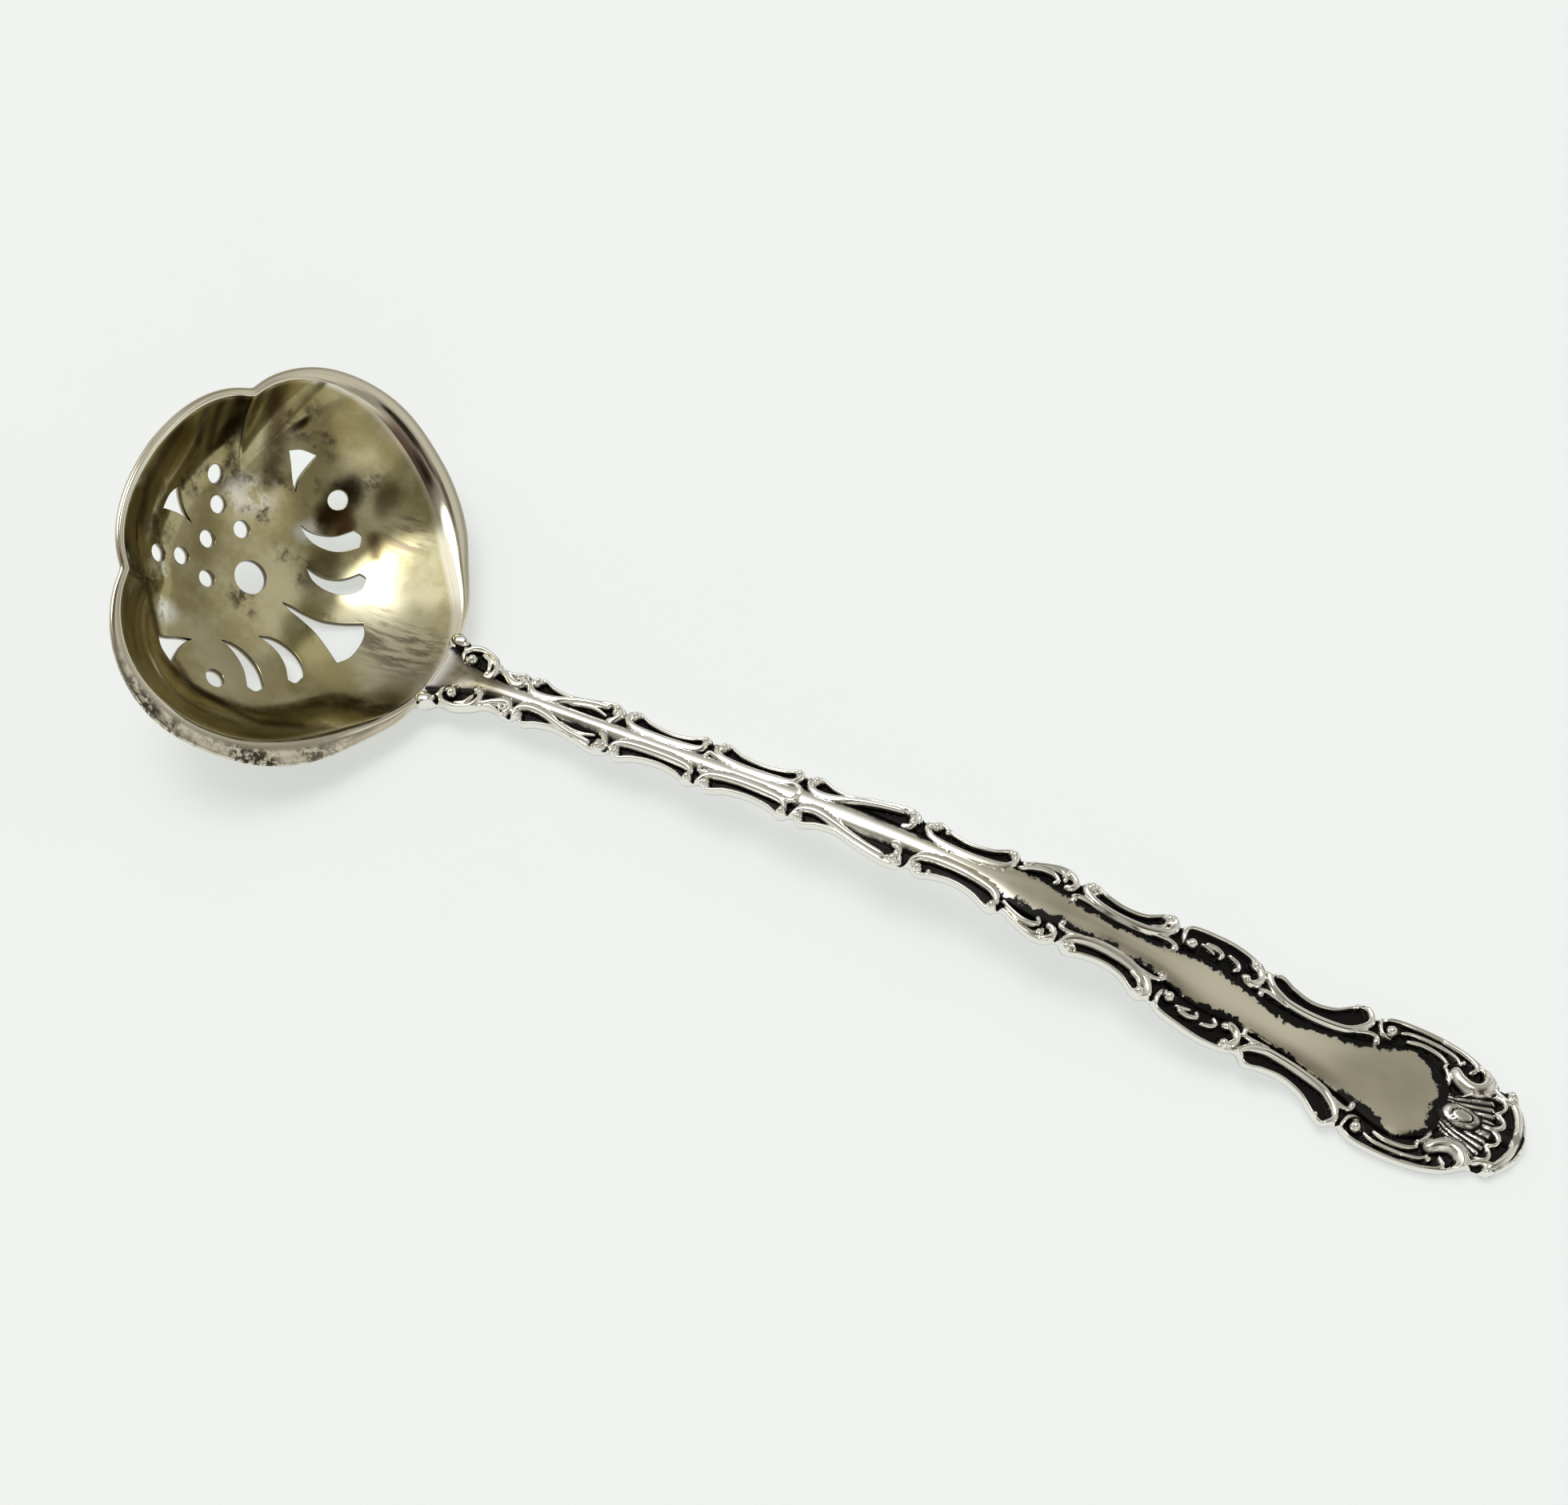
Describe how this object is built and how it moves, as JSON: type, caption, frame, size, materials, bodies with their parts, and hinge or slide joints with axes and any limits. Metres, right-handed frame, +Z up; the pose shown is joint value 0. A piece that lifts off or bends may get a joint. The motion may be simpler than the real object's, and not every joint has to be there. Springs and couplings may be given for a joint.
{
  "type": "condiment ladle",
  "caption": "Small pierced silver ladle with a lobed bowl, a long gently curved scroll-bordered handle and a fluted shell end, lying on its bowl and handle.",
  "frame": {"origin": "centre of the bounding box in plan, at the level of the surface that the ladle lies on", "axes": "+X along the handle from the bowl to the shell end, +Y to the side, +Z up"},
  "size_m": [0.144, 0.0442, 0.0222],
  "materials": {
    "bowl_silver": "polished antique silver with a warm olive tarnish",
    "handle_silver": "worn bright silver on the raised work, near black in the recesses",
    "solder": "dull grey hard solder"
  },
  "bodies": {
    "root": {"bowl": "bowl_silver", "handle": "handle_silver", "solder_seam": "solder"}
  },
  "joints": []
}
